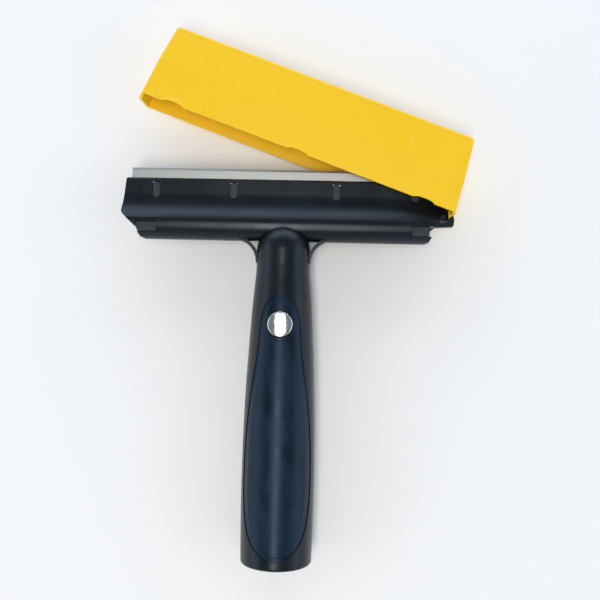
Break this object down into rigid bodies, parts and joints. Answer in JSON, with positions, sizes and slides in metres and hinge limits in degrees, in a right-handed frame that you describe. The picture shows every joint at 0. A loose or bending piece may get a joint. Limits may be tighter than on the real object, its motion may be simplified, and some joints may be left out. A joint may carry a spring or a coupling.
{
  "type": "window scraper",
  "caption": "Hand scraper with a wide steel blade, a soft-grip handle, a push-button pole lock and a pivoting channel-shaped blade guard.",
  "frame": {"origin": "centre of the pole socket's mouth, in the butt of the handle", "axes": "+Y along the handle from the butt to the blade, +X along the blade towards the guard's pivot, +Z out of the front face where the button is"},
  "size_m": [0.1711, 0.2596, 0.0358],
  "materials": {
    "black_body": "satin moulded",
    "soft_grip": "satin soft-touch",
    "yellow_guard": "satin moulded",
    "blade_steel": "ground",
    "chrome": "polished",
    "grey_plastic": "matt",
    "liner_plastic": "matt",
    "zinc_steel": "zinc plated",
    "dark_pin": "blackened",
    "brass": "turned"
  },
  "bodies": {
    "tool": {"tool_body": "black_body", "front_grip": "soft_grip", "rear_grip": "soft_grip", "scraper_blade": "blade_steel", "rear_clamp_plate": "grey_plastic", "clamp_screws": "zinc_steel", "clamp_inserts": "brass", "guard_pivot_pin": "dark_pin", "pivot_push_nut": "zinc_steel", "pivot_washers": "zinc_steel", "pole_socket_sleeve": "liner_plastic", "lock_lever_pin": "zinc_steel", "button_guide": "black_body"},
    "guard": {"blade_guard": "yellow_guard"},
    "button": {"button_cap": "chrome", "button_stem": "grey_plastic", "stem_clip": "zinc_steel", "button_spring": "zinc_steel"},
    "lever": {"lock_lever": "zinc_steel"}
  },
  "joints": [
    {"name": "guard_swing", "type": "hinge", "parent": "tool", "child": "guard", "pos_m": [0.0774, 0.1687, 0], "axis": [0, 0, -1], "range_deg": [-20, 130]},
    {"name": "button_press", "type": "slide", "parent": "tool", "child": "button", "axis": [0, 0, -1], "range_m": [0, 0.002], "stiffness_N_per_m": 600, "springref_m": -0.003, "deforming": ["button_spring"]},
    {"name": "lever_tilt", "type": "hinge", "parent": "tool", "child": "lever", "pos_m": [0, 0.101, 0.0086], "axis": [-1, 0, 0], "range_deg": [0, 8.2]}
  ],
  "couplings": [
    {"joint": "lever_tilt", "follows": "button_press", "rad_per_m": 71.429}
  ]
}
